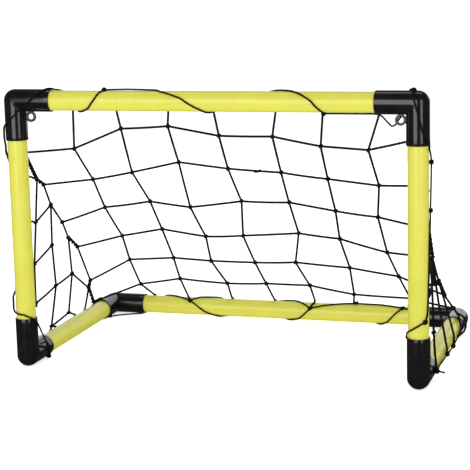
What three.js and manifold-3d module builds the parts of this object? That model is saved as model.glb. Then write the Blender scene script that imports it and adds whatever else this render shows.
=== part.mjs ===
// A toy football goal: six push-fit plastic tubes, six moulded elbows, a knotted net in three
// panels and the cords that lace it on. Millimetres, +Z up. The origin is on the ground under the
// middle of the goal, +X runs along the crossbar to the right post, and the mouth faces -Y.

import * as THREE from 'three';
import { mergeVertices } from 'three/addons/utils/BufferGeometryUtils.js';
import Module from 'manifold-3d';

const wasm = await Module();
wasm.setup();

// Frame, measured between the tubes' centre lines.
const FRAME_WIDTH = 510;
const FRAME_HEIGHT = 330;
const FRAME_DEPTH = 304;

// Tubes.
const TUBE_RADIUS = 12.5;
const TUBE_WALL = 1.6;
const TUBE_SIDES = 40;

// Elbows: two socket arms that meet in a round corner of the same radius.
const ELBOW_RADIUS = 14.2;
const ELBOW_ARM = 50;
const ELBOW_SIDES = 32;
const SOCKET_RADIUS = TUBE_RADIUS + 0.3;
const SOCKET_STOP = 18;
const CORE_RADIUS = 10.8;
const FIT_GAP = 0.3;

// Hanging eyelets in the inner corners of the two top elbows.
const EYELET_OFFSET = 20.4;
const EYELET_HOLE_RADIUS = 3.6;
const EYELET_RADIUS = 6.8;
const EYELET_THICKNESS = 3.6;

// Net panels, as plain sheets that reach close to the tubes.
const NET_THICKNESS = 0.6;
const NET_MARGIN = 16;
const NET_SIDE_GAP = 3;
const CORNER_STEPS = 4;

// Lacing cord, wound round the tubes.
const CORD_RADIUS = 1;
const CORD_SIDES = 6;
const CORD_GAP = 0.2;
const CORD_ORBIT = TUBE_RADIUS + CORD_GAP + CORD_RADIUS;
const CORD_STEP = 5;
const WRAP_STEP_DEGREES = 15;

const FRONT_Y = -FRAME_DEPTH / 2;
const REAR_Y = FRAME_DEPTH / 2;
const LEFT_X = -FRAME_WIDTH / 2;
const RIGHT_X = FRAME_WIDTH / 2;
const GROUND_Z = ELBOW_RADIUS;
const TOP_Z = ELBOW_RADIUS + FRAME_HEIGHT;

const yellowPlastic = new THREE.MeshStandardMaterial({ color: 0xdfe35a, roughness: 0.34, metalness: 0 });
const blackPlastic = new THREE.MeshStandardMaterial({ color: 0x1d191c, roughness: 0.3, metalness: 0 });
const netCord = new THREE.MeshStandardMaterial({ color: 0x151515, roughness: 0.85, metalness: 0 });

// ---- Solids -------------------------------------------------------------------------------

function toManifold(geometry) {
  const bare = geometry.clone();
  bare.deleteAttribute('normal');
  bare.deleteAttribute('uv');
  const merged = mergeVertices(bare, 1e-4);
  return new wasm.Manifold(new wasm.Mesh({
    numProp: 3,
    vertProperties: new Float32Array(merged.attributes.position.array),
    triVerts: new Uint32Array(merged.index.array),
  }));
}

function fromManifold(solid) {
  const mesh = solid.getMesh();
  const geometry = new THREE.BufferGeometry();
  geometry.setAttribute('position', new THREE.BufferAttribute(new Float32Array(mesh.vertProperties), 3));
  geometry.setIndex(new THREE.BufferAttribute(new Uint32Array(mesh.triVerts), 1));
  geometry.computeVertexNormals();
  return geometry;
}

// A solid of revolution along +Z from [radius, height] pairs that start and end on the axis,
// or close on themselves.
function lathe(profile, sides) {
  const points = profile.map(([radius, height]) => new THREE.Vector2(radius, height));
  return new THREE.LatheGeometry(points, sides).rotateX(Math.PI / 2);
}

// A rod along +Z from the origin, in steps of [radius, height where the step ends].
function steppedRod(steps) {
  const profile = [[0, 0]];
  let height = 0;
  for (const [radius, end] of steps) {
    profile.push([radius, height], [radius, end]);
    height = end;
  }
  profile.push([0, height]);
  return lathe(profile, ELBOW_SIDES);
}

// Two equal rods along +X and +Z that meet in a ball. The ball's facets line up with the rods'.
function roundCorner(steps) {
  const rod = steppedRod(steps);
  const ball = new THREE.SphereGeometry(steps[0][0], ELBOW_SIDES, ELBOW_SIDES / 2);
  return toManifold(rod)
    .add(toManifold(rod.clone().rotateY(Math.PI / 2)))
    .add(toManifold(ball));
}

// An elbow with its arms along +X and +Z. Inside, each arm is a socket down to its stop, and a
// narrower core runs on round the corner. The eyelet lies in the plane of the arms.
function elbowGeometry(hasEyelet) {
  let solid = roundCorner([[ELBOW_RADIUS, ELBOW_ARM]]);
  if (hasEyelet) solid = solid.add(eyeletDisc(EYELET_RADIUS, EYELET_THICKNESS));
  solid = solid.subtract(roundCorner([[CORE_RADIUS, SOCKET_STOP], [SOCKET_RADIUS, ELBOW_ARM + 1]]));
  if (hasEyelet) solid = solid.subtract(eyeletDisc(EYELET_HOLE_RADIUS, 2 * EYELET_THICKNESS));
  return fromManifold(solid);
}

function eyeletDisc(radius, thickness) {
  const disc = new THREE.CylinderGeometry(radius, radius, thickness, 24);
  return toManifold(disc.translate(EYELET_OFFSET, 0, EYELET_OFFSET));
}

// A straight tube along +Z between two elbow corners `span` apart, seated against their stops.
function tubeGeometry(span) {
  const low = SOCKET_STOP + FIT_GAP;
  const high = span - SOCKET_STOP - FIT_GAP;
  const bore = TUBE_RADIUS - TUBE_WALL;
  return lathe([[bore, low], [TUBE_RADIUS, low], [TUBE_RADIUS, high], [bore, high], [bore, low]], TUBE_SIDES);
}

// A cord on a tube along +Z. The route is a list of [distance along the tube, degrees round it],
// and the points between two entries follow a steady wrap from one to the next.
function cordGeometry(route) {
  const points = [];
  for (let i = 0; i < route.length - 1; i += 1) {
    const [startAlong, startTurn] = route[i];
    const [endAlong, endTurn] = route[i + 1];
    const wraps = Math.abs(endTurn - startTurn) / WRAP_STEP_DEGREES;
    const count = Math.max(1, Math.ceil(wraps), Math.ceil((endAlong - startAlong) / (6 * CORD_STEP)));
    for (let j = i === 0 ? 0 : 1; j <= count; j += 1) {
      const part = j / count;
      const turn = THREE.MathUtils.degToRad(startTurn + part * (endTurn - startTurn));
      const along = startAlong + part * (endAlong - startAlong);
      points.push(new THREE.Vector3(CORD_ORBIT * Math.cos(turn), CORD_ORBIT * Math.sin(turn), along));
    }
  }
  const path = new THREE.CatmullRomCurve3(points);
  const section = new THREE.Shape();
  for (let i = 0; i < CORD_SIDES; i += 1) {
    const angle = (2 * Math.PI * i) / CORD_SIDES;
    const corner = [CORD_RADIUS * Math.cos(angle), CORD_RADIUS * Math.sin(angle)];
    if (i === 0) section.moveTo(...corner);
    else section.lineTo(...corner);
  }
  section.closePath();
  const steps = Math.ceil(path.getLength() / CORD_STEP);
  const options = { steps, extrudePath: path, bevelEnabled: false, curveSegments: 1 };
  return new THREE.ExtrudeGeometry(section, options);
}

// A flat sheet of the net's thickness, centred on the XY plane, with the given outline.
function sheetGeometry(outline) {
  const shape = new THREE.Shape(outline.map(([x, y]) => new THREE.Vector2(x, y)));
  const sheet = new THREE.ExtrudeGeometry(shape, { depth: NET_THICKNESS, bevelEnabled: false });
  return sheet.translate(0, 0, -NET_THICKNESS / 2);
}

// ---- Placement ----------------------------------------------------------------------------

const goal = new THREE.Group();
goal.name = 'football_goal';

function addPiece(name, geometry, material, position, basis) {
  const mesh = new THREE.Mesh(geometry, material);
  mesh.name = name;
  mesh.position.set(...position);
  if (basis) {
    const [x, y, z] = basis.map((axis) => new THREE.Vector3(...axis));
    mesh.setRotationFromMatrix(new THREE.Matrix4().makeBasis(x, y, z));
  }
  goal.add(mesh);
}

// Turns a piece so that its own +X and +Z lie along two given directions at right angles.
function basisFromArms(alongX, alongZ) {
  const alongY = new THREE.Vector3(...alongZ).cross(new THREE.Vector3(...alongX));
  return [alongX, alongY.toArray(), alongZ];
}

const TO_RIGHT = [1, 0, 0];
const TO_LEFT = [-1, 0, 0];
const TO_REAR = [0, 1, 0];
const TO_FRONT = [0, -1, 0];
const UP = [0, 0, 1];
const DOWN = [0, 0, -1];

// A tube's own +Z runs along it and its own +X is the direction that the cord angles start from.
const ALONG_CROSSBAR = basisFromArms(TO_FRONT, TO_RIGHT);
const ALONG_POST = basisFromArms(TO_FRONT, UP);
const ALONG_SIDE = basisFromArms(UP, TO_REAR);

const plainElbow = elbowGeometry(false);
const eyeletElbow = elbowGeometry(true);

// Cord routes. On the crossbar and the rear bar 0 degrees is the front and 90 the underside; on a
// post 0 is the front and 90 faces right; on a side tube 0 is the top and 90 faces right.
const CROSSBAR_CORD = [
  [53, 215], [86, 90], [102, 39], [112, -15], [121, -82], [150, -95], [190, -80], [223, -20],
  [247, 44], [256, 90], [268, 110], [300, 180], [335, 250], [350, 275], [371, 312], [385, 350],
  [396, 405], [402, 440], [415, 452], [457, 452],
];
const REAR_BAR_CORD = [
  [53, -110], [86, -102], [104, -75], [122, -44], [134, -12], [145, 22], [162, 60], [178, 100],
  [205, 180], [240, 225], [264, 247], [280, 268], [302, 330], [320, 302], [348, 280], [366, 262],
  [400, 270], [434, 300], [457, 305],
];
const LEFT_POST_CORD = [[53, 45], [57, 0], [60, -70], [78, -85], [95, -115], [250, -120], [277, -75]];
const RIGHT_POST_CORD = [
  [53, -85], [62, -23], [68, 17], [71, 46], [98, 59], [134, 67], [169, 78], [203, 98], [260, 100], [277, 80],
];
const LEFT_SIDE_CORD = [[53, -40], [66, -85], [85, -105], [150, -100], [215, -105], [236, -85], [251, -40]];
const RIGHT_SIDE_CORD = LEFT_SIDE_CORD.map(([along, turn]) => [along, -turn]);

function addBar(name, span, position, basis, route) {
  addPiece(`${name}_tube`, tubeGeometry(span), yellowPlastic, position, basis);
  addPiece(`${name}_lacing`, cordGeometry(route), netCord, position, basis);
}

addBar('rear_bar', FRAME_WIDTH, [LEFT_X, REAR_Y, GROUND_Z], ALONG_CROSSBAR, REAR_BAR_CORD);
addBar('crossbar', FRAME_WIDTH, [LEFT_X, FRONT_Y, TOP_Z], ALONG_CROSSBAR, CROSSBAR_CORD);

// The net slopes from under the crossbar to the top of the rear bar.
const slopeTop = new THREE.Vector2(FRONT_Y + 4, TOP_Z - NET_MARGIN);
const slopeFoot = new THREE.Vector2(REAR_Y - 4, GROUND_Z + NET_MARGIN);
const slope = slopeTop.clone().sub(slopeFoot);

function slopeHeightAt(y) {
  return slopeFoot.y + (slope.y * (y - slopeFoot.x)) / slope.x;
}

// The back panel's outline, with its top corners cut in an arc round the posts.
function backOutline() {
  const halfWidth = FRAME_WIDTH / 2 - NET_SIDE_GAP;
  const firstTurn = Math.acos(NET_SIDE_GAP / NET_MARGIN);
  const lastTurn = Math.asin((slopeTop.x - FRONT_Y) / NET_MARGIN);
  const rightSide = [[halfWidth, 0]];
  for (let i = 0; i <= CORNER_STEPS; i += 1) {
    const turn = firstTurn + (i / CORNER_STEPS) * (lastTurn - firstTurn);
    const y = FRONT_Y + NET_MARGIN * Math.sin(turn);
    rightSide.push([RIGHT_X - NET_MARGIN * Math.cos(turn), (slope.length() * (y - slopeFoot.x)) / slope.x]);
  }
  const leftSide = rightSide.map(([x, along]) => [-x, along]).reverse();
  return [...rightSide, ...leftSide];
}

const upSlope = [0, slope.x / slope.length(), slope.y / slope.length()];
const offSlope = new THREE.Vector3(...TO_RIGHT).cross(new THREE.Vector3(...upSlope)).toArray();
const backBasis = [TO_RIGHT, upSlope, offSlope];
addPiece('net_back_panel', sheetGeometry(backOutline()), netCord, [0, slopeFoot.x, slopeFoot.y], backBasis);

// Each side panel fills the triangle between a post, a side tube and the slope.
const sideFront = FRONT_Y + NET_MARGIN;
const sideOutline = [
  [sideFront, slopeFoot.y],
  [slopeFoot.x, slopeFoot.y],
  [sideFront, slopeHeightAt(sideFront)],
];

const SIDES = [
  ['left', LEFT_X, TO_RIGHT, LEFT_SIDE_CORD, LEFT_POST_CORD],
  ['right', RIGHT_X, TO_LEFT, RIGHT_SIDE_CORD, RIGHT_POST_CORD],
];

for (const [side, x, inward, sideCord, postCord] of SIDES) {
  const corner = [x, FRONT_Y, GROUND_Z];
  addBar(`side_${side}`, FRAME_DEPTH, corner, ALONG_SIDE, sideCord);
  addBar(`post_${side}`, FRAME_HEIGHT, corner, ALONG_POST, postCord);
  addPiece(`front_foot_${side}`, plainElbow, blackPlastic, corner, basisFromArms(TO_REAR, UP));
  const rearCorner = [x, REAR_Y, GROUND_Z];
  addPiece(`rear_elbow_${side}`, plainElbow, blackPlastic, rearCorner, basisFromArms(TO_FRONT, inward));
  addPiece(`top_elbow_${side}`, eyeletElbow, blackPlastic, [x, FRONT_Y, TOP_Z], basisFromArms(inward, DOWN));
  addPiece(`net_${side}_panel`, sheetGeometry(sideOutline), netCord, [x, 0, 0], [TO_REAR, UP, TO_RIGHT]);
}

export default goal;
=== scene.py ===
"""Toy football goal: glossy push-fit tubes, moulded elbows and a knotted net that is laced on."""

import math
import random

import bpy
import bmesh
from mathutils import Matrix, Vector


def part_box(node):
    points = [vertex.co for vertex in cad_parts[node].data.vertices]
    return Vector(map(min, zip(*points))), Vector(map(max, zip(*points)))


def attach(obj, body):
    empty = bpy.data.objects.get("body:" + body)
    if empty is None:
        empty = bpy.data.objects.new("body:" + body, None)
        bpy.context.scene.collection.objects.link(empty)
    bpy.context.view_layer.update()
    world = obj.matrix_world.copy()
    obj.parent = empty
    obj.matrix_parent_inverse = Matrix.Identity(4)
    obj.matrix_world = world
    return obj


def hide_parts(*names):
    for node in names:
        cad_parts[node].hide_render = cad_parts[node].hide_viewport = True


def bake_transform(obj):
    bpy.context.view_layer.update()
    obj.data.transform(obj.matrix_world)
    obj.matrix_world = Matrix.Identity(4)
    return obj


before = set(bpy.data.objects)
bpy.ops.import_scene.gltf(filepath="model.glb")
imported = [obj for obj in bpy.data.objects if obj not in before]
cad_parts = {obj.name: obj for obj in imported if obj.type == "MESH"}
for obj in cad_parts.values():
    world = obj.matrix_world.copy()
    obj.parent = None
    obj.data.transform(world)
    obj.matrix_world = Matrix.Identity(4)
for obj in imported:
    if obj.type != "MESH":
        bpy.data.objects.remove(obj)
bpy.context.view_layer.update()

MM = 0.001
BASE = "base"
FRONT = "front_frame"

# ---- Camera --------------------------------------------------------------------------------------

CAMERA_TARGET = Vector((0.0292, -0.152, 0.181))
CAMERA_AZIMUTH = 17.26
CAMERA_ELEVATION = 10.66
CAMERA_ROLL = -1.43
CAMERA_DISTANCE = 1.853
CAMERA_LENS = 116.3
SENSOR_WIDTH = 36.0


def make_camera():
    azimuth = math.radians(CAMERA_AZIMUTH)
    elevation = math.radians(CAMERA_ELEVATION)
    away = Vector((
        math.sin(azimuth) * math.cos(elevation),
        -math.cos(azimuth) * math.cos(elevation),
        math.sin(elevation),
    ))
    data = bpy.data.cameras.new("camera")
    data.lens = CAMERA_LENS
    data.sensor_width = SENSOR_WIDTH
    camera = bpy.data.objects.new("camera", data)
    camera.location = CAMERA_TARGET + away * CAMERA_DISTANCE
    level = away.to_track_quat("Z", "Y").to_matrix()
    roll = Matrix.Rotation(math.radians(CAMERA_ROLL), 3, "Z")
    camera.rotation_euler = (level @ roll).to_euler()
    bpy.context.scene.collection.objects.link(camera)
    bpy.context.scene.camera = camera


make_camera()

# ---- Places, all from the frame ------------------------------------------------------------------


def span(node):
    low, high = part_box(node)
    return Vector(low), Vector(high)


LEFT_FOOT_LOW, LEFT_FOOT_HIGH = span("front_foot_left")
ELBOW_R = (LEFT_FOOT_HIGH.x - LEFT_FOOT_LOW.x) / 2
ELBOW_ARM = LEFT_FOOT_HIGH.z - LEFT_FOOT_LOW.z - ELBOW_R
POST_LOW, POST_HIGH = span("post_left_tube")
TUBE_R = (POST_HIGH.x - POST_LOW.x) / 2
SOCKET_STOP = POST_LOW.z - LEFT_FOOT_LOW.z - ELBOW_R
TUBE_WALL = 1.6 * MM
SOCKET_CLEARANCE = 0.3 * MM
TUBE_BORE = TUBE_R - TUBE_WALL
SOCKET_R = TUBE_R + SOCKET_CLEARANCE
CORE_R = 10.8 * MM
LEFT_X = (LEFT_FOOT_LOW.x + LEFT_FOOT_HIGH.x) / 2
RIGHT_X = -LEFT_X
FRONT_Y = (POST_LOW.y + POST_HIGH.y) / 2
REAR_Y = -FRONT_Y
GROUND_Z = ELBOW_R
TOP_Z = span("top_elbow_left")[1].z - ELBOW_R

# ---- Materials -----------------------------------------------------------------------------------


def new_material(name):
    material = bpy.data.materials.new(name)
    material.use_nodes = True
    tree = material.node_tree
    tree.nodes.clear()
    output = tree.nodes.new("ShaderNodeOutputMaterial")
    shader = tree.nodes.new("ShaderNodeBsdfPrincipled")
    tree.links.new(shader.outputs["BSDF"], output.inputs["Surface"])
    return material, tree, shader


def add_node(tree, kind, links=None, **settings):
    """A node with its properties and input values set, and its inputs linked from other sockets."""
    node = tree.nodes.new(kind)
    for key, value in settings.items():
        if hasattr(node, key):
            setattr(node, key, value)
        else:
            node.inputs[key.replace("_", " ")].default_value = value
    for key, socket in (links or {}).items():
        tree.links.new(socket, node.inputs[key])
    return node


def ramp(tree, fac, stops):
    node = tree.nodes.new("ShaderNodeValToRGB")
    elements = node.color_ramp.elements
    while len(elements) < len(stops):
        elements.new(0.5)
    for element, (place, colour) in zip(elements, stops):
        element.position = place
        element.color = (*colour, 1.0) if len(colour) == 3 else colour
    tree.links.new(fac, node.inputs["Fac"])
    return node


def grey(value):
    return (value, value, value)


def tube_material():
    """Glossy lime-yellow tube: faint draw lines along it, slight mottling, fine specks in its gloss."""
    material, tree, shader = new_material("lime_plastic_tube")
    uv = add_node(tree, "ShaderNodeTexCoord").outputs["UV"]
    lines_map = add_node(tree, "ShaderNodeMapping", {"Vector": uv}, Scale=(1.0, 0.015, 1.0))
    lines = add_node(
        tree, "ShaderNodeTexNoise", {"Vector": lines_map.outputs["Vector"]}, Scale=900.0, Detail=3.0,
    )
    cloud = add_node(tree, "ShaderNodeTexNoise", {"Vector": uv}, Scale=40.0, Detail=4.0)
    speck = add_node(tree, "ShaderNodeTexNoise", {"Vector": uv}, Scale=2600.0, Detail=2.0)
    colour = ramp(tree, cloud.outputs["Fac"], [(0.3, (0.685, 0.665, 0.080)), (0.7, (0.735, 0.715, 0.098))])
    tree.links.new(colour.outputs["Color"], shader.inputs["Base Color"])
    rough = ramp(tree, speck.outputs["Fac"], [(0.35, grey(0.24)), (0.7, grey(0.34))])
    tree.links.new(rough.outputs["Color"], shader.inputs["Roughness"])
    fine = add_node(tree, "ShaderNodeBump", {"Height": lines.outputs["Fac"]}, Strength=0.10, Distance=0.00006)
    skin = add_node(
        tree, "ShaderNodeBump", {"Height": speck.outputs["Fac"], "Normal": fine.outputs["Normal"]},
        Strength=0.08, Distance=0.00004,
    )
    tree.links.new(skin.outputs["Normal"], shader.inputs["Normal"])
    shader.inputs["Subsurface Weight"].default_value = 0.12
    shader.inputs["Subsurface Radius"].default_value = (0.9, 1.0, 0.25)
    shader.inputs["Subsurface Scale"].default_value = 0.0012
    shader.inputs["Coat Weight"].default_value = 0.25
    shader.inputs["Coat Roughness"].default_value = 0.12
    shader.inputs["IOR"].default_value = 1.49
    return material


def elbow_material():
    """Black moulded plastic: orange peel, a faint parting line and slightly duller patches."""
    material, tree, shader = new_material("black_moulded_plastic")
    coordinates = add_node(tree, "ShaderNodeTexCoord")
    place = coordinates.outputs["Object"]
    around = add_node(tree, "ShaderNodeSeparateXYZ", {"Vector": coordinates.outputs["UV"]})
    peel = add_node(tree, "ShaderNodeTexNoise", {"Vector": place}, Scale=700.0, Detail=3.0)
    dust = add_node(tree, "ShaderNodeTexNoise", {"Vector": place}, Scale=55.0, Detail=6.0, Roughness=0.65)
    colour = ramp(
        tree, dust.outputs["Fac"], [(0.42, (0.0055, 0.0042, 0.0060)), (0.8, (0.011, 0.0095, 0.0115))],
    )
    tree.links.new(colour.outputs["Color"], shader.inputs["Base Color"])
    rough = ramp(tree, dust.outputs["Fac"], [(0.3, grey(0.16)), (0.8, grey(0.26))])
    tree.links.new(rough.outputs["Color"], shader.inputs["Roughness"])
    # The parting line runs along u = 0.25 and u = 0.75, the inner and the outer line of the arms.
    doubled = add_node(tree, "ShaderNodeMath", {0: around.outputs["X"]}, operation="MULTIPLY")
    doubled.inputs[1].default_value = 2.0
    fraction = add_node(tree, "ShaderNodeMath", {0: doubled.outputs[0]}, operation="FRACT")
    offset = add_node(tree, "ShaderNodeMath", {0: fraction.outputs[0]}, operation="SUBTRACT")
    offset.inputs[1].default_value = 0.5
    distance = add_node(tree, "ShaderNodeMath", {0: offset.outputs[0]}, operation="ABSOLUTE")
    seam = ramp(tree, distance.outputs[0], [(0.0, grey(1.0)), (0.006, grey(0.0))])
    ridge = add_node(
        tree, "ShaderNodeBump", {"Height": seam.outputs["Color"]}, Strength=0.35, Distance=0.00012,
    )
    skin = add_node(
        tree, "ShaderNodeBump", {"Height": peel.outputs["Fac"], "Normal": ridge.outputs["Normal"]},
        Strength=0.08, Distance=0.00005,
    )
    tree.links.new(skin.outputs["Normal"], shader.inputs["Normal"])
    shader.inputs["Specular IOR Level"].default_value = 0.5
    shader.inputs["Coat Weight"].default_value = 0.55
    shader.inputs["Coat Roughness"].default_value = 0.05
    return material


TWINE_PLIES = 3.0


def cord_material(name, twists):
    """Black twisted twine. twists is how many plies pass in each metre of it.

    u runs once round the cord and v along it in metres.
    """
    material, tree, shader = new_material(name)
    coordinates = add_node(tree, "ShaderNodeTexCoord")
    split = add_node(tree, "ShaderNodeSeparateXYZ", {"Vector": coordinates.outputs["UV"]})
    along = add_node(tree, "ShaderNodeMath", {0: split.outputs["Y"]}, operation="MULTIPLY")
    along.inputs[1].default_value = twists
    around = add_node(tree, "ShaderNodeMath", {0: split.outputs["X"]}, operation="MULTIPLY")
    around.inputs[1].default_value = TWINE_PLIES
    lay = add_node(tree, "ShaderNodeMath", {0: along.outputs[0], 1: around.outputs[0]}, operation="ADD")
    turn = add_node(tree, "ShaderNodeMath", {0: lay.outputs[0]}, operation="MULTIPLY")
    turn.inputs[1].default_value = 2 * math.pi
    strand = add_node(tree, "ShaderNodeMath", {0: turn.outputs[0]}, operation="SINE")
    place = coordinates.outputs["Object"]
    fibre = add_node(tree, "ShaderNodeTexNoise", {"Vector": place}, Scale=1800.0, Detail=4.0)
    colour = ramp(
        tree, fibre.outputs["Fac"], [(0.3, (0.002, 0.002, 0.0025)), (0.75, (0.009, 0.0085, 0.0085))],
    )
    tree.links.new(colour.outputs["Color"], shader.inputs["Base Color"])
    twist = add_node(tree, "ShaderNodeBump", {"Height": strand.outputs[0]}, Strength=0.7, Distance=0.00022)
    fuzz = add_node(
        tree, "ShaderNodeBump", {"Height": fibre.outputs["Fac"], "Normal": twist.outputs["Normal"]},
        Strength=0.5, Distance=0.0001,
    )
    tree.links.new(fuzz.outputs["Normal"], shader.inputs["Normal"])
    shader.inputs["Roughness"].default_value = 0.85
    shader.inputs["Specular IOR Level"].default_value = 0.25
    return material


TUBE_MATERIAL = tube_material()
ELBOW_MATERIAL = elbow_material()
NET_MATERIAL = cord_material("black_net_twine", 260.0)
LACE_MATERIAL = cord_material("black_lacing_cord", 220.0)

# ---- Mesh helpers --------------------------------------------------------------------------------


def add_piece(name, mesh, material, body, nodes=()):
    piece = bpy.data.objects.new(name, mesh)
    bpy.context.scene.collection.objects.link(piece)
    mesh.materials.append(material)
    if body:
        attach(piece, body)
    if nodes:
        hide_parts(*nodes)
    return piece


def mesh_from(name, verts, faces, uvs):
    """A smooth-shaded mesh. uvs holds one (u, v) for each corner of each face."""
    mesh = bpy.data.meshes.new(name)
    mesh.from_pydata([tuple(v) for v in verts], [], faces)
    layer = mesh.uv_layers.new(name="UVMap")
    flat = [pair for face in uvs for pair in face]
    for loop, pair in zip(layer.data, flat):
        loop.uv = pair
    mesh.polygons.foreach_set("use_smooth", [True] * len(mesh.polygons))
    mesh.update()
    return mesh


def sharpen(mesh, degrees):
    """Marks the edges that turn more than this as sharp, so that smooth shading breaks there."""
    work = bmesh.new()
    work.from_mesh(mesh)
    bmesh.ops.remove_doubles(work, verts=work.verts, dist=1e-6)
    bmesh.ops.recalc_face_normals(work, faces=work.faces)
    limit = math.radians(degrees)
    for edge in work.edges:
        if len(edge.link_faces) == 2 and edge.calc_face_angle(0.0) > limit:
            edge.smooth = False
    work.to_mesh(mesh)
    work.free()
    return mesh


TUBE_ROUND_M = 0.08
TUBE_SHARP_DEGREES = 35


def revolve(name, profile, sides, basis, origin, closed):
    """Revolves (radius, height) pairs about the third axis of the basis, with u and v in metres."""
    verts = []
    lengths = [0.0]
    for (r0, h0), (r1, h1) in zip(profile, profile[1:]):
        lengths.append(lengths[-1] + math.hypot(r1 - r0, h1 - h0))
    for radius, height in profile:
        for i in range(sides):
            angle = 2 * math.pi * i / sides
            local = Vector((radius * math.cos(angle), radius * math.sin(angle), height))
            verts.append(origin + basis @ local)
    faces, uvs = [], []
    rings = len(profile)
    for k in range(rings if closed else rings - 1):
        nxt = (k + 1) % rings
        v0 = lengths[k]
        v1 = lengths[nxt] if nxt else lengths[k] + MM
        for i in range(sides):
            j = (i + 1) % sides
            a, b = k * sides, nxt * sides
            faces.append((a + i, a + j, b + j, b + i))
            u0, u1 = i / sides, (i + 1) / sides
            left, right = u0 * TUBE_ROUND_M, u1 * TUBE_ROUND_M
            uvs.append([(left, v0), (right, v0), (right, v1), (left, v1)])
    return sharpen(mesh_from(name, verts, faces, uvs), TUBE_SHARP_DEGREES)


# ---- Tubes ---------------------------------------------------------------------------------------

TUBE_SIDES = 96
TUBE_EDGE = 0.35 * MM
TUBE_LENGTHS = 12


def tube_basis(low, high):
    size = high - low
    axis = max(range(3), key=lambda i: size[i])
    columns = [Vector(), Vector(), Vector()]
    for i in range(3):
        columns[i][(axis + 1 + i) % 3] = 1.0
    return Matrix(columns).transposed(), axis


def make_tube(node, body):
    low, high = span(node)
    basis, axis = tube_basis(low, high)
    centre = (low + high) / 2
    half = (high - low)[axis] / 2
    outside = [(TUBE_R - TUBE_EDGE, -half), (TUBE_R, -half + TUBE_EDGE)]
    for i in range(1, TUBE_LENGTHS):
        outside.append((TUBE_R, -half + 2 * half * i / TUBE_LENGTHS))
    outside += [(TUBE_R, half - TUBE_EDGE), (TUBE_R - TUBE_EDGE, half)]
    inside = [(TUBE_BORE, half), (TUBE_BORE, -half)]
    mesh = revolve(node, outside + inside, TUBE_SIDES, basis, centre, True)
    add_piece(f"{node}_visual", mesh, TUBE_MATERIAL, body, [node])


# ---- Elbows --------------------------------------------------------------------------------------

ELBOW_SIDES = 96
CORNER_STEPS = 24
ARM_STEPS = 8
RIM_STEPS = 4
RIM_ROUND = 0.55 * MM
RIM_CHAMFER = 0.25 * MM
RIM_CHAMFER_DEPTH = 0.4 * MM
ELBOW_SHARP_DEGREES = 32

# Each elbow's two arms, as unit directions from its corner.
ELBOWS = {
    "front_foot_left": (BASE, (0, 1, 0), (0, 0, 1)),
    "front_foot_right": (BASE, (0, 1, 0), (0, 0, 1)),
    "rear_elbow_left": (BASE, (0, -1, 0), (1, 0, 0)),
    "rear_elbow_right": (BASE, (0, -1, 0), (-1, 0, 0)),
    "top_elbow_left": (FRONT, (1, 0, 0), (0, 0, -1)),
    "top_elbow_right": (FRONT, (-1, 0, 0), (0, 0, -1)),
}


def rim_profile():
    """(radius, distance from the corner) from the outside of an arm, over its rim, into its socket."""
    points = [(ELBOW_R, ELBOW_ARM - RIM_ROUND)]
    for i in range(1, RIM_STEPS + 1):
        turn = math.pi / 2 * i / RIM_STEPS
        points.append((
            ELBOW_R - RIM_ROUND * (1 - math.cos(turn)),
            ELBOW_ARM - RIM_ROUND * (1 - math.sin(turn)),
        ))
    points += [
        (SOCKET_R + RIM_CHAMFER, ELBOW_ARM),
        (SOCKET_R, ELBOW_ARM - RIM_CHAMFER_DEPTH),
        (SOCKET_R, SOCKET_STOP),
        (CORE_R, SOCKET_STOP),
        (CORE_R, 0.0),
    ]
    return points


def elbow_grid():
    """Rows of points from the core of the +X arm, over its rim, round the corner, to the +Z core.

    At angle a round an arm, cos(a) is sideways and sin(a) points to the inside of the bend. On the
    inside the two arms meet in a mitre, on the outside they meet in a ball.
    """
    rows = []
    rims = rim_profile()

    def arm_point(radius, distance, angle, along_x):
        side = radius * math.cos(angle)
        inner = radius * math.sin(angle)
        return Vector((distance, side, inner)) if along_x else Vector((inner, side, distance))

    angles = [2 * math.pi * i / ELBOW_SIDES for i in range(ELBOW_SIDES)]
    for radius, distance in reversed(rims):
        rows.append([arm_point(radius, distance, a, True) for a in angles])
    start = ELBOW_ARM - RIM_ROUND
    for i in range(1, ARM_STEPS + 1):
        part = i / ARM_STEPS
        row = []
        for a in angles:
            stop = max(0.0, ELBOW_R * math.sin(a))
            row.append(arm_point(ELBOW_R, start + part * (stop - start), a, True))
        rows.append(row)
    for i in range(1, CORNER_STEPS):
        turn = math.pi / 2 * i / CORNER_STEPS
        row = []
        for a in angles:
            inner = ELBOW_R * math.sin(a)
            side = ELBOW_R * math.cos(a)
            if inner >= 0:
                row.append(Vector((inner, side, inner)))
            else:
                row.append(Vector((inner * math.sin(turn), side, inner * math.cos(turn))))
        rows.append(row)
    for i in range(ARM_STEPS + 1):
        part = i / ARM_STEPS
        row = []
        for a in angles:
            stop = max(0.0, ELBOW_R * math.sin(a))
            row.append(arm_point(ELBOW_R, stop + part * (start - stop), a, False))
        rows.append(row)
    for radius, distance in rims[1:]:
        rows.append([arm_point(radius, distance, a, False) for a in angles])
    return rows


EYELET_PLACE = 20.4 * MM
EYELET_HOLE = 3.6 * MM
EYELET_R = 6.8 * MM
EYELET_HALF = 1.8 * MM
EYELET_ROUND = 0.6 * MM
EYELET_SIDES = 48
EYELET_ROUND_STEPS = 3


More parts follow.
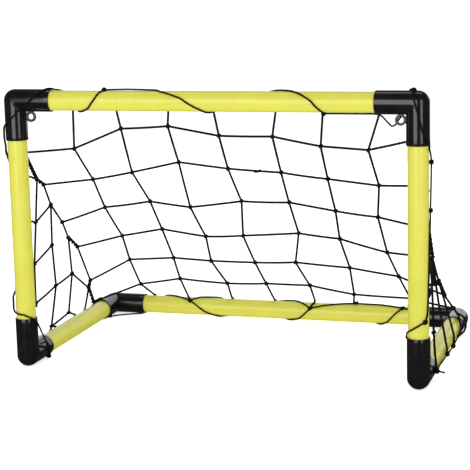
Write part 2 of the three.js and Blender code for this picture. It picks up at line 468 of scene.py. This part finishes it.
def eyelet_parts(first_vert):
    """The eyelet ring in the elbow's own axes: a round-edged washer about the Y direction."""
    profile = []
    for radius, sign in ((EYELET_R, -1), (EYELET_HOLE, 1)):
        for level in ((-1, 1) if sign < 0 else (1, -1)):
            for i in range(EYELET_ROUND_STEPS + 1):
                turn = math.pi / 2 * i / EYELET_ROUND_STEPS
                inset, rise = 1 - math.cos(turn), 1 - math.sin(turn)
                if level * sign > 0:
                    inset, rise = rise, inset
                profile.append((
                    radius + sign * EYELET_ROUND * inset,
                    level * (EYELET_HALF - EYELET_ROUND * rise),
                ))
    sides = EYELET_SIDES
    verts, faces = [], []
    for radius, height in profile:
        for i in range(sides):
            angle = 2 * math.pi * i / sides
            verts.append(Vector((
                EYELET_PLACE + radius * math.cos(angle), height, EYELET_PLACE + radius * math.sin(angle),
            )))
    count = len(profile)
    for k in range(count):
        nxt = (k + 1) % count
        for i in range(sides):
            j = (i + 1) % sides
            a, b = first_vert + k * sides, first_vert + nxt * sides
            faces.append((a + i, a + j, b + j, b + i))
    return verts, faces


def make_elbow(node):
    body, arm_x, arm_z = ELBOWS[node]
    arm_x, arm_z = Vector(arm_x), Vector(arm_z)
    basis = Matrix((arm_x, arm_z.cross(arm_x), arm_z)).transposed()
    low, high = span(node)
    toward = arm_x + arm_z
    corner = Vector()
    for i in range(3):
        if toward[i] > 0:
            corner[i] = low[i] + ELBOW_R
        elif toward[i] < 0:
            corner[i] = high[i] - ELBOW_R
        else:
            corner[i] = (low[i] + high[i]) / 2
    rows = elbow_grid()
    verts = [v for row in rows for v in row]
    faces, uvs = [], []
    for k in range(len(rows) - 1):
        for i in range(ELBOW_SIDES):
            j = (i + 1) % ELBOW_SIDES
            a, b = k * ELBOW_SIDES, (k + 1) * ELBOW_SIDES
            faces.append((a + i, a + j, b + j, b + i))
            u0, u1 = i / ELBOW_SIDES, (i + 1) / ELBOW_SIDES
            uvs.append([(u0, k * MM), (u1, k * MM), (u1, (k + 1) * MM), (u0, (k + 1) * MM)])
    for row_index, flip in ((0, False), (len(rows) - 1, True)):
        ring = [row_index * ELBOW_SIDES + i for i in range(ELBOW_SIDES)]
        faces.append(tuple(ring if flip else reversed(ring)))
        uvs.append([(0.1, 0.0)] * ELBOW_SIDES)
    if node.startswith("top"):
        ring_verts, ring_faces = eyelet_parts(len(verts))
        verts += ring_verts
        faces += ring_faces
        uvs += [[(0.1, 0.0)] * 4 for _ in ring_faces]
    placed = [corner + basis @ v for v in verts]
    mesh = sharpen(mesh_from(node, placed, faces, uvs), ELBOW_SHARP_DEGREES)
    add_piece(f"{node}_visual", mesh, ELBOW_MATERIAL, body, [node])


for side in ("left", "right"):
    make_tube(f"post_{side}_tube", FRONT)
    make_tube(f"side_{side}_tube", BASE)
make_tube("crossbar_tube", FRONT)
make_tube("rear_bar_tube", BASE)
for elbow_name in ELBOWS:
    make_elbow(elbow_name)

# ---- Cords and knots -----------------------------------------------------------------------------

X, Y, Z = Vector((1, 0, 0)), Vector((0, 1, 0)), Vector((0, 0, 1))
LACE_R = 1.1 * MM
NET_R = 1.45 * MM
CORD_GAP = 0.1 * MM
CORD_END = 0.5
TWIST_PITCH = 18 * MM
TWIST_STEPS = 8
TWIST_SPREAD = 1.05
KNOT_SIZE = 2.5 * MM
KNOT_STEPS = 16
KNOT_RING = 0.72
KNOT_CORD = 0.55
KNOT_SLANT, KNOT_SPIN = 0.5, 0.4
NET_SIDES, LACE_SIDES = 10, 12
NET_STEP, LACE_STEP = 6 * MM, 2.5 * MM
LACE_KNOT_SIZE = 1.05 * KNOT_SIZE
JOIN_KNOT_SIZE = 0.7 * KNOT_SIZE
LOOSE_SAG = 0.7 * MM
HANGING_STEPS = 8
rng = random.Random(7)


def smooth_path(points, step):
    """Catmull-Rom through the points, cut into pieces of about the given length."""
    ends = [points[0] * 2 - points[1]] + list(points) + [points[-1] * 2 - points[-2]]
    path = [points[0].copy()]
    for a, b, c, d in zip(ends, ends[1:], ends[2:], ends[3:]):
        count = max(1, round((c - b).length / step))
        for i in range(1, count + 1):
            t = i / count
            path.append(0.5 * (
                2 * b + (c - a) * t + (2 * a - 5 * b + 4 * c - d) * t * t + (3 * b - a - 3 * c + d) * t ** 3
            ))
    return path


class CordMesh:
    """Collects swept cords, so that many strands and knots make one piece."""

    def __init__(self, sides):
        self.sides = sides
        self.verts = []
        self.faces = []
        self.uvs = []

    def sweep(self, path, radius):
        """A round cord along the path, closed by a short tapered end at each end."""
        count = len(path)
        tangents = []
        for i in range(count):
            ahead = path[min(i + 1, count - 1)] - path[max(i - 1, 0)]
            tangents.append(ahead.normalized() if ahead.length > 1e-9 else Z.copy())
        rings = [(path[0] - tangents[0] * radius * CORD_END, tangents[0], CORD_END * radius)]
        rings += [(point, tangent, radius) for point, tangent in zip(path, tangents)]
        rings.append((path[-1] + tangents[-1] * radius * CORD_END, tangents[-1], CORD_END * radius))
        start = len(self.verts)
        side = tangents[0].orthogonal().normalized()
        along = 0.0
        lengths = []
        for i, (point, tangent, ring_radius) in enumerate(rings):
            if i:
                along += (point - rings[i - 1][0]).length
            side = side - tangent * side.dot(tangent)
            side = side.normalized() if side.length > 1e-6 else tangent.orthogonal().normalized()
            other = tangent.cross(side)
            lengths.append(along)
            for k in range(self.sides):
                angle = 2 * math.pi * k / self.sides
                self.verts.append(point + (side * math.cos(angle) + other * math.sin(angle)) * ring_radius)
        n = self.sides
        for i in range(len(rings) - 1):
            for k in range(n):
                j = (k + 1) % n
                a, b = start + i * n, start + (i + 1) * n
                self.faces.append((a + k, a + j, b + j, b + k))
                u0, u1 = k / n, (k + 1) / n
                v0, v1 = lengths[i], lengths[i + 1]
                self.uvs.append([(u0, v0), (u1, v0), (u1, v1), (u0, v1)])
        for ring, flip in ((start, True), (start + (len(rings) - 1) * n, False)):
            order = [ring + k for k in range(n)]
            self.faces.append(tuple(reversed(order) if flip else order))
            self.uvs.append([(0.0, 0.0)] * n)

    def strand(self, points, radius, step=NET_STEP):
        self.sweep(smooth_path(points, step), radius)

    def twisted(self, a, b, radius, count):
        """Some strands laid round each other from a to b."""
        along = (b - a).normalized()
        side = along.orthogonal().normalized()
        other = along.cross(side)
        turns = max(1, round((b - a).length / TWIST_PITCH))
        steps = TWIST_STEPS * turns
        for strand in range(count):
            points = []
            for i in range(steps + 1):
                angle = 2 * math.pi * (strand / count + turns * i / steps)
                ring = side * math.cos(angle) + other * math.sin(angle)
                points.append(a.lerp(b, i / steps) + ring * radius * TWIST_SPREAD)
            self.sweep(points, radius)

    def knot(self, centre, first, second, size):
        """A knot, made as a turn of twine round each of the two cords that cross in it."""
        first = first.normalized()
        second = second - first * second.dot(first)
        second = second.normalized() if second.length > 1e-6 else first.orthogonal().normalized()
        normal = first.cross(second)
        spin = rng.uniform(-KNOT_SPIN, KNOT_SPIN)
        turns = ((first, second, KNOT_SLANT + spin), (second, first, spin - KNOT_SLANT))
        for axis, across, slant in turns:
            tilt = (across + normal * slant).normalized()
            other = axis.cross(tilt).normalized()
            loop = []
            for i in range(KNOT_STEPS + 1):
                angle = 2 * math.pi * i / KNOT_STEPS
                ring = tilt * math.cos(angle) + other * math.sin(angle)
                loop.append(centre + (ring * KNOT_RING + axis * (i / KNOT_STEPS - 0.5)) * size)
            self.sweep(loop, size * KNOT_CORD)

    def piece(self, name, material, body, nodes, slot):
        mesh = mesh_from(name, self.verts, self.faces, self.uvs)
        return add_piece(name, mesh, material, body, nodes)


# Bars: the corner where each starts, where its 0 and 90 degrees face, its direction and its length.
# On the crossbar and the rear bar 0 is the front and 90 the underside, on a post 0 is the front and
# 90 faces right, and on a side tube 0 is the top and 90 faces right.
WIDTH, DEPTH, HEIGHT = RIGHT_X - LEFT_X, REAR_Y - FRONT_Y, TOP_Z - GROUND_Z
BARS = {
    "crossbar": (Vector((LEFT_X, FRONT_Y, TOP_Z)), -Y, -Z, X, WIDTH),
    "rear_bar": (Vector((LEFT_X, REAR_Y, GROUND_Z)), -Y, -Z, X, WIDTH),
    "post_left": (Vector((LEFT_X, FRONT_Y, GROUND_Z)), -Y, X, Z, HEIGHT),
    "post_right": (Vector((RIGHT_X, FRONT_Y, GROUND_Z)), -Y, X, Z, HEIGHT),
    "side_left": (Vector((LEFT_X, FRONT_Y, GROUND_Z)), Z, X, Y, DEPTH),
    "side_right": (Vector((RIGHT_X, FRONT_Y, GROUND_Z)), Z, X, Y, DEPTH),
}
RIM_BEFORE, RIM_AFTER = 1 * MM, 3 * MM
WIND_DEGREES, WIND_MM = 15, 12


def on_bar(bar, along, degrees, lift=0.0, radius=LACE_R):
    """A cord's centre on a bar or its elbows, `along` and `lift` in millimetres."""
    origin, zero, ninety, direction, length = BARS[bar]
    near = min(along * MM, length - along * MM)
    over_elbow = (ELBOW_ARM + RIM_AFTER - near) / (RIM_BEFORE + RIM_AFTER)
    surface = TUBE_R + min(max(over_elbow, 0.0), 1.0) * (ELBOW_R - TUBE_R)
    turn = math.radians(degrees)
    out = zero * math.cos(turn) + ninety * math.sin(turn)
    point = origin + direction * along * MM + out * (surface + CORD_GAP + radius + lift * MM)
    point.z = max(point.z, radius)
    return point


def wound(bar, stops, radius=LACE_R):
    """A winding through stops of (along, degrees) or (along, degrees, lift), in short steps."""
    full = [(*stop, 0.0)[:3] for stop in stops]
    points = [on_bar(bar, *full[0], radius)]
    for (s0, a0, l0), (s1, a1, l1) in zip(full, full[1:]):
        count = max(1, math.ceil(abs(a1 - a0) / WIND_DEGREES), math.ceil(abs(s1 - s0) / WIND_MM))
        for i in range(1, count + 1):
            t = i / count
            points.append(on_bar(bar, s0 + t * (s1 - s0), a0 + t * (a1 - a0), l0 + t * (l1 - l0), radius))
    return points


def in_mm(*points):
    return [Vector(point) * MM for point in points]


# ---- Net -----------------------------------------------------------------------------------------
# The back of the net is an even mesh of 63 by 66 mm cells that slopes from the crossbar to the rear
# bar and sags below that slope. Each knot is pulled off the even mesh by (right, down) millimetres.

CELL_ACROSS = 63
CELL_DOWN = 66
FIRST_ROW = 40
FIRST_COLUMN = 65
MESH_SHIFT = -1
NET_SAG = 22 * MM
SLOPE_IN, SLOPE_OFF_BAR = 4 * MM, 16 * MM
SLOPE_TOP = Vector((0.0, FRONT_Y + SLOPE_IN, TOP_Z - SLOPE_OFF_BAR))
SLOPE_FOOT = Vector((0.0, REAR_Y - SLOPE_IN, GROUND_Z + SLOPE_OFF_BAR))
SLOPE_LENGTH = (SLOPE_FOOT - SLOPE_TOP).length
DOWN_SLOPE = (SLOPE_FOOT - SLOPE_TOP).normalized()
BELOW_SLOPE = DOWN_SLOPE.cross(X).normalized()

PULLS = [
    [(-5, 20), (5, -15), (5, -20), (5, -5), (10, -5), (5, 10), (0, 15)],
    [(5, 10), (0, -5), (5, -25), (5, -15), (10, -10), (5, 0), (5, 10)],
    [(5, 0), (10, -15), (0, -5), (10, -20), (10, -20), (5, -5), (-5, 5)],
    [(10, 0), (10, -20), (5, -5), (-5, -10), (10, -20), (0, -10), (-5, 20)],
    [(0, 0), (5, -10), (-5, -5), (-5, -5), (-10, -10), (0, 0), (0, 20)],
    [(-10, 15), (-5, -10), (0, 0), (-5, -5), (-5, -5), (-10, 20), (5, 25)],
]
ROWS, COLUMNS = len(PULLS), len(PULLS[0])
TOP_SHIFTS = [10, 5, 10, 5, 20, 15, 20]

# Each column's last stretch over the rear bar, as (along, degrees). Two columns end in a knot of
# the lacing on the front of the bar, one in a knot on its top, and the others go on behind it.
FOOT_STOPS = [
    [(62, -100), (63, -150)],
    [(116, -90), (122, -46)],
    [(182, -100), (183, -150)],
    [(246, -100), (247, -150)],
    [(306, -100), (306, -70), (302, -32)],
    [(362, -112), (366, -100)],
    [(440, -105), (442, -150)],
]


def back_knot(row, column):
    right, down = PULLS[row][column]
    x = (CELL_ACROSS * (column - COLUMNS // 2) + MESH_SHIFT + right) * MM
    down_slope = (FIRST_ROW + CELL_DOWN * row + down) * MM
    sag = NET_SAG * math.sin(math.pi * min(down_slope / SLOPE_LENGTH, 1.0))
    return X * x + SLOPE_TOP + DOWN_SLOPE * down_slope + BELOW_SLOPE * sag


# A side panel hangs outside its side tube and close behind its post. Its knots are (y, z) in
# millimetres. e1 to e6 are on the slanting edge, where the rows of the back come in.
SIDE_TOP_OUT, SIDE_FOOT_OUT = 2, 14
SIDE_TOP_Z, SIDE_FOOT_Z = 150, 30

LEFT_KNOTS = {
    "e1": (-130, 275), "e0": (-95, 235), "e2": (-75, 225), "b1": (-55, 195), "e3": (-20, 165),
    "c1": (0, 140), "e4": (35, 120), "e5": (90, 60), "d1": (85, 50), "e6": (105, 25),
    "a1": (-105, 180), "a2": (-110, 125), "a3": (-100, 70),
    "b2": (-55, 140), "b3": (-35, 80), "b4": (-45, 25), "c2": (20, 85), "c3": (15, 30),
}
LEFT_STRANDS = [
    ("e1 e0", 3), ("e0 e2", 2), ("e2 b1 e3 c1", 1), ("c1 e4", 2), ("e4 e5", 1), ("e5 d1 e6", 2),
    ("e0 a1 a2 a3", 1), ("b1 b2 b3 b4", 1), ("c1 c2 c3", 1),
    ("b1 a1", 1), ("b2 a2", 1), ("d1 c2 b3 a3", 1), ("c3 b4", 1),
]
RIGHT_KNOTS = {
    "e1": (-125, 300), "e2": (-110, 240), "e3": (-95, 185), "e4": (-70, 145), "c1": (-45, 110),
    "e5": (-15, 85), "e6": (40, 55),
    "a1": (-85, 145), "a2": (-80, 115), "b2": (-65, 110), "a3": (-90, 115), "a4": (-110, 60),
}
RIGHT_STRANDS = [
    ("e1 e2 e3", 1), ("e3 e4", 2), ("e4 c1", 1), ("c1 e5", 2), ("e5 e6", 1),
    ("a1 a2", 1), ("a1 a3 a4", 1), ("e4 b2", 1), ("a2 b2", 1), ("a1 e4", 1),
]


def side_point(side, y, z):
    slack = min(max((SIDE_TOP_Z - z) / (SIDE_TOP_Z - SIDE_FOOT_Z), 0.0), 1.0)
    out = (SIDE_TOP_OUT + (SIDE_FOOT_OUT - SIDE_TOP_OUT) * slack) * MM
    return Vector((side * (RIGHT_X + out), y * MM, z * MM))


LEFT = {name: side_point(-1, *place) for name, place in LEFT_KNOTS.items()}
RIGHT = {name: side_point(1, *place) for name, place in RIGHT_KNOTS.items()}


def hanging(a, b, sag):
    """A strand from knot to knot that droops by sag in its middle."""
    parts = [i / HANGING_STEPS for i in range(HANGING_STEPS + 1)]
    return [a.lerp(b, t) - Z * sag * t * (1 - t) * 4 for t in parts]


def net_strand(net, a, b, count=1):
    if count > 1:
        net.twisted(a, b, NET_R, count)
    else:
        net.strand(hanging(a, b, rng.uniform(0.0, LOOSE_SAG)), NET_R)


def build_back_net():
    net = CordMesh(NET_SIDES)
    knots = [[back_knot(row, column) for column in range(COLUMNS)] for row in range(ROWS)]
    for row in range(ROWS):
        line = [LEFT[f"e{row + 1}"]] + knots[row] + [RIGHT[f"e{row + 1}"]]
        for a, b in zip(line, line[1:]):
            net_strand(net, a, b)
    for column in range(COLUMNS):
        top = CELL_ACROSS * column + FIRST_COLUMN + TOP_SHIFTS[column]
        tie = wound("crossbar", [(top, 205), (top, 115)], NET_R)
        net.strand(tie + hanging(tie[-1], knots[0][column], 0.0)[1:], NET_R)
        for row in range(ROWS - 1):
            net_strand(net, knots[row][column], knots[row + 1][column])
        foot = wound("rear_bar", FOOT_STOPS[column], NET_R)
        net.strand([knots[-1][column]] + foot, NET_R)
    for row in range(ROWS):
        for column in range(COLUMNS):
            aside = knots[row][min(column + 1, COLUMNS - 1)] - knots[row][max(column - 1, 0)]
            upward = knots[max(row - 1, 0)][column] - knots[min(row + 1, ROWS - 1)][column]
            net.knot(knots[row][column], aside, upward, KNOT_SIZE)
    # A small knot with a cut end, part of the way along a strand of the second row.
    join = knots[1][3].lerp(knots[1][4], 0.6)
    net.strand([join, join + Vector((-3, 0, -1)) * MM, join + Vector((-7, -1, -1)) * MM], NET_R)
    net.knot(join, X, Z, JOIN_KNOT_SIZE)
    head = [(20, 190), (255, 192), (490, 190)]
    net.strand(wound("crossbar", head, NET_R), NET_R)
    net.knot(on_bar("rear_bar", 366, -100, 0.4), X, Z, KNOT_SIZE)
    return net.piece("net_back", NET_MATERIAL, None, ["net_back_panel"], "net")


def build_side_net(word, places, chains, ties):
    net = CordMesh(NET_SIDES)
    for chain, count in chains:
        names = chain.split()
        for a, b in zip(names, names[1:]):
            net_strand(net, places[a], places[b], count)
    for point in places.values():
        net.knot(point, Vector((0, 1, -1)), Vector((0, 1, 1)), KNOT_SIZE)
    for name, points in ties:
        net.strand([places[name]] + points, NET_R)
    return net.piece(f"net_{word}", NET_MATERIAL, None, [f"net_{word}_panel"], "net")


TIE_DROP = 2


def post_tie(bar, height, from_side):
    """From a net knot to behind a post, at the given height in millimetres."""
    return wound(bar, [(height, from_side), (height - TIE_DROP, 180)], NET_R)


left_ties = [
    ("e1", wound("post_left", [(268, 200), (285, 170)], NET_R)),
    ("e0", post_tie("post_left", 232, 140)),
    ("a1", post_tie("post_left", 174, 135)),
    ("a2", post_tie("post_left", 117, 130)),
    ("a3", post_tie("post_left", 63, 125)),
    ("b4", wound("side_left", [(97, -50), (95, -100)], NET_R)),
    ("b4", wound("side_left", [(114, -50), (116, -100)], NET_R)),
    ("c3", wound("side_left", [(182, -50), (188, -100)], NET_R)),
    ("d1", wound("side_left", [(217, -50), (214, -95)], NET_R)),
    ("e6", wound("side_left", [(262, -10), (266, -60)], NET_R)),
]
right_ties = [
    ("e1", wound("post_right", [(296, 160), (310, 180)], NET_R)),
    ("e2", post_tie("post_right", 225, 130)),
    ("e3", post_tie("post_right", 170, 130)),
    ("a1", post_tie("post_right", 128, 120)),
    ("a3", post_tie("post_right", 98, 125)),
    ("a4", [side_point(1, -116, 34), on_bar("side_right", 33, 90, 0.8, NET_R)]),
    ("b2", [side_point(1, -58, 80), side_point(1, -38, 30), on_bar("side_right", 121, 98, 1.5, NET_R)]),
    ("c1", [side_point(1, -5, 61), side_point(1, 28, 20), on_bar("side_right", 175, 112, 1.2, NET_R)]),
    ("e6", wound("side_right", [(256, 30, 1), (236, 72, 1), (215, 98, 1)], NET_R)),
    ("e6", wound("side_right", [(262, 20, 2), (270, 70, 1), (262, 115, 1), (235, 135)], NET_R)),
]
nets = [
    build_back_net(),
    build_side_net("left", LEFT, LEFT_STRANDS, left_ties),
    build_side_net("right", RIGHT, RIGHT_STRANDS, right_ties),
]
for net_piece in nets:
    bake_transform(net_piece)

# ---- Lacing --------------------------------------------------------------------------------------


FLOOR_GAP_MM = 0.2


def lacing(node, body, strands, knots=()):
    """Strands are lists of points and knots are points on a bar, with the directions that cross there."""
    lace = CordMesh(LACE_SIDES)
    for points in strands:
        lace.strand(points, LACE_R, LACE_STEP)
    for centre, first, second in knots:
        lace.knot(centre, first, second, LACE_KNOT_SIZE)
    return lace.piece(f"{node}_visual", LACE_MATERIAL, body, [node], "cord")


def make_crossbar_lacing():
    left_elbow = wound("post_left", [
        (240, -125), (254, -105), (266, -80, 1.4), (280, -74, 1.0), (297, -62), (304, -18), (311, 10),
        (317, 34),
    ])
    doubled = wound("post_left", [
        (240, -115), (252, -95), (266, -70, 1.6), (280, -68, 1.2), (296, -74, 1.0), (300, -110),
    ])
    main = wound("crossbar", [
        (23, 367), (33, 333), (41, 305), (46, 282), (54, 262), (64, 225), (76, 150), (86, 90), (102, 39),
        (112, -15), (121, -82), (150, -95, 0.4), (190, -80), (195, -64), (223, -20), (247, 44), (256, 90),
        (266, 140), (300, 180), (330, 235), (347, 268), (359, 285), (371, 312), (385, 350), (396, 405),
        (400, 440), (412, 450), (457, 450), (466, 450),
    ])
    slack = in_mm((219, -152, 321), (224, -152, 316.5), (228, -152, 318), (232, -151, 324), (236, -148, 330))
    right_elbow = wound("crossbar", [(485, 125), (492, 190), (500, 250), (506, 288), (506, 318)])
    down = wound("post_right", [(329, -3), (313, 14), (297, 31), (285, 58), (277, 80)])
    knots = [
        (on_bar("crossbar", 121, -80), X, Y),
        (on_bar("crossbar", 398, 440), X, Y),
        (on_bar("crossbar", 506, 288), X, Y),
    ]
    path = left_elbow + main + slack + right_elbow + down
    lacing("crossbar_lacing", FRONT, [path, doubled], knots)


def make_rear_bar_lacing():
    main = wound("rear_bar", [
        (53, -150), (72, -145), (86, -104), (104, -75), (122, -44), (134, -12), (145, 22), (162, 60),
        (178, 120), (205, 180), (240, 215), (256, 235), (264, 247), (280, 268), (302, 330),
    ])
    from_second = wound("rear_bar", [
        (302, -30), (320, -52), (348, -80), (366, -98), (400, -92), (434, -60), (450, -50), (462, -40),
    ])
    branches = [
        wound("rear_bar", [(122, -44), (136, -84), (159, -104), (170, -140)]),
        wound("rear_bar", [(302, -30), (293, 10), (284, 45), (270, 70), (260, 115)]),
        wound("rear_bar", [(434, -60), (422, -10), (412, 38), (400, 76), (392, 115)]),
    ]
    floor_z = LACE_R / MM + FLOOR_GAP_MM
    under_elbow = in_mm(
        (-263, 84, 4), (-257, 93, floor_z), (-248, 115, floor_z), (-230, 131, floor_z), (-205, 139, 2.5),
    )
    places = ((122, -44), (302, -30), (434, -60))
    knots = [(on_bar("rear_bar", along, degrees), X, Z) for along, degrees in places]
    knots.append((Vector((-248, 115, 1.9)) * MM, X, Y))
    lacing("rear_bar_lacing", BASE, [main, from_second, *branches, under_elbow], knots)


def make_side_lacing():
    left = wound("side_left", [
        (41, 142), (47, 156), (55, 175), (60, 205), (66, 245), (85, 257), (150, 260), (215, 255),
        (236, 275), (251, 320),
    ])
    turn_on_foot = wound("side_left", [(9, 50), (24, 71), (36, 110), (42, 145)])
    lacing("side_left_lacing", BASE, [left, turn_on_foot], [(on_bar("side_left", 41, 140), X, Y)])
    right = wound("side_right", [
        (33, 90, 0.8), (70, 94, 1.2), (121, 98, 1.5), (150, 106, 1.4), (175, 112, 1.2), (205, 104, 0.8),
        (232, 110), (251, 150),
    ])
    foot = on_bar("side_right", 33, 90, 0.8)
    tail = [foot, foot + Vector((4, -1, 0)) * MM, foot + Vector((10, -2, -1)) * MM]
    places = ((33, 90), (121, 98), (175, 112))
    knots = [(on_bar("side_right", along, degrees, 1.2), X, Y) for along, degrees in places]
    lacing("side_right_lacing", BASE, [right, tail], knots)


def make_post_lacing():
    to_foot = wound("post_left", [
        (240, -125), (95, -120), (84, -100), (78, -78, 1.8), (60, -72, 1.8), (57, -30), (56, 13), (50, 63),
        (42, 92),
    ])
    to_foot += wound("side_left", [(32, 46), (34, 103), (40, 138)])
    doubled = wound("post_left", [(88, -110), (77, -68, 2.0), (62, -66, 2.0), (56, -80), (54, -120)])
    left = lacing("post_left_lacing", None, [to_foot, doubled])
    down = wound("post_right", [
        (277, 80), (270, 92, 0.8), (260, 100, 1.5), (239, 100, 1.2), (203, 100, 0.4), (169, 84), (134, 76),
        (98, 68), (80, 60), (71, 46), (68, 17), (62, -23), (55, -79), (49, -95), (44, -120),
    ])
    places = ((260, 100, 1.5), (203, 100, 0.4), (71, 46, 0))
    knots = [(on_bar("post_right", along, degrees, lift), Z, X) for along, degrees, lift in places]
    right = lacing("post_right_lacing", None, [down], knots)
    for piece in (left, right):
        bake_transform(piece)


make_crossbar_lacing()
make_rear_bar_lacing()
make_side_lacing()
make_post_lacing()

# ---- Studio --------------------------------------------------------------------------------------

FLOOR_HALF = 6.0
FLOOR_GLOW = 0.42
FLOOR_GLOW_SEEN = 0.7
ROOM_LIGHT = 0.64
ROOM_REFLECTION = 0.04
ROOM_SEEN = 1.05

# Each softbox as (place, target, (width, height), radiance).
SOFTBOXES = {
    "backdrop": ((0.0, 1.7, 0.62), (0.0, 0.0, 0.4), (3.2, 1.2), 0.9),
    "softbox_left": ((-0.58, -2.65, 0.72), (-0.58, 0.0, 0.72), (1.6, 2.0), 2.4),
    "softbox_right": ((1.93, -2.0, 0.72), (0.0, 0.0, 0.72), (0.9, 2.0), 2.1),
    "softbox_top": ((0.0, 0.35, 1.9), (0.0, 0.1, 0.0), (1.8, 0.5), 1.2),
}


def make_floor():
    """A white light table. It glows, and looks brighter than it lights, to stay white round the goal."""
    mesh = bpy.data.meshes.new("studio_floor")
    half = FLOOR_HALF
    corners = [(-half, -half, 0), (half, -half, 0), (half, half, 0), (-half, half, 0)]
    mesh.from_pydata(corners, [], [(0, 1, 2, 3)])
    floor = bpy.data.objects.new("studio_floor", mesh)
    material, tree, shader = new_material("pale_floor")
    shader.inputs["Base Color"].default_value = (0.85, 0.85, 0.85, 1.0)
    shader.inputs["Roughness"].default_value = 0.9
    shader.inputs["Specular IOR Level"].default_value = 0.1
    shader.inputs["Emission Color"].default_value = (1.0, 1.0, 1.0, 1.0)
    rays = tree.nodes.new("ShaderNodeLightPath")
    seen = add_node(tree, "ShaderNodeMath", {0: rays.outputs["Is Camera Ray"]}, operation="MULTIPLY_ADD")
    seen.inputs[1].default_value = FLOOR_GLOW_SEEN - FLOOR_GLOW
    seen.inputs[2].default_value = FLOOR_GLOW
    tree.links.new(seen.outputs[0], shader.inputs["Emission Strength"])
    mesh.materials.append(material)
    floor.visible_glossy = False
    bpy.context.scene.collection.objects.link(floor)


def softbox(name, place, target, size, radiance):
    """An area light of (width, height) metres that shines from its place towards the target."""
    data = bpy.data.lights.new(name, "AREA")
    data.shape = "RECTANGLE"
    data.size, data.size_y = size
    data.energy = radiance * math.pi * size[0] * size[1]
    light = bpy.data.objects.new(name, data)
    light.location = place
    light.rotation_euler = (Vector(place) - Vector(target)).to_track_quat("Z", "Y").to_euler()
    light.visible_camera = False
    bpy.context.scene.collection.objects.link(light)


def make_studio():
    """A white room to look at, dimmer as a light and nearly dark in reflections."""
    world = bpy.data.worlds.new("studio_world")
    world.use_nodes = True
    tree = world.node_tree
    background = tree.nodes["Background"]
    background.inputs["Color"].default_value = (1.0, 1.0, 1.0, 1.0)
    rays = tree.nodes.new("ShaderNodeLightPath")
    seen = add_node(tree, "ShaderNodeMath", {0: rays.outputs["Is Camera Ray"]}, operation="MULTIPLY")
    seen.inputs[1].default_value = ROOM_SEEN
    diffuse = add_node(tree, "ShaderNodeMath", {0: rays.outputs["Is Diffuse Ray"]}, operation="MULTIPLY")
    diffuse.inputs[1].default_value = ROOM_LIGHT
    total = add_node(tree, "ShaderNodeMath", {0: seen.outputs[0], 1: diffuse.outputs[0]}, operation="ADD")
    raised = add_node(tree, "ShaderNodeMath", {0: total.outputs[0]}, operation="MAXIMUM")
    raised.inputs[1].default_value = ROOM_REFLECTION
    tree.links.new(raised.outputs[0], background.inputs["Strength"])
    bpy.context.scene.world = world
    bpy.context.scene.view_settings.view_transform = "Standard"
    for name, settings in SOFTBOXES.items():
        softbox(name, *settings)


make_floor()
make_studio()
